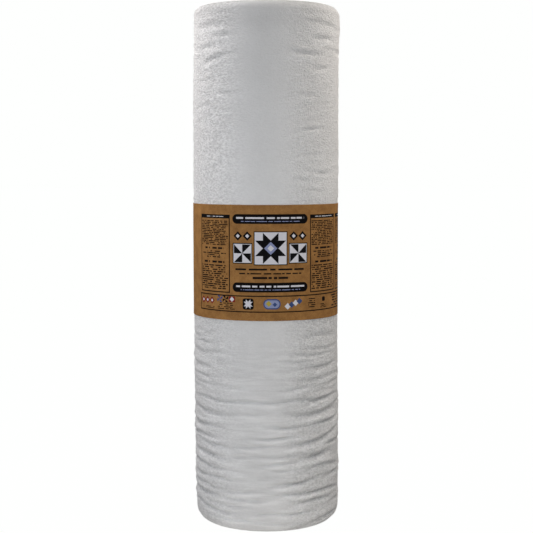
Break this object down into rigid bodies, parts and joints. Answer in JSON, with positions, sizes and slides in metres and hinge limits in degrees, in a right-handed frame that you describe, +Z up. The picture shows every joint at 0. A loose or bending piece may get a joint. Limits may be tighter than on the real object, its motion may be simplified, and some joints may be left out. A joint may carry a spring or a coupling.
{
  "type": "roll of quilt batting with a paper band",
  "caption": "Upright roll of white cotton quilt batting, wound from doubled cloth, soft folds low down, with a printed kraft paper band round its middle.",
  "frame": {"origin": "centre of the end that the roll stands on", "axes": "+Z up along the roll; -Y is the front of the paper band, as in the picture; +X is the viewer's right"},
  "size_m": [0.3266, 0.3232, 1.143],
  "materials": {
    "cotton_batting": "needled cotton wadding, matt, felted, off-white",
    "kraft_paper": "uncoated brown kraft paper printed in black with small colour patches"
  },
  "bodies": {
    "root": {"batting_roll": "cotton_batting", "label_band": "kraft_paper"}
  },
  "joints": []
}
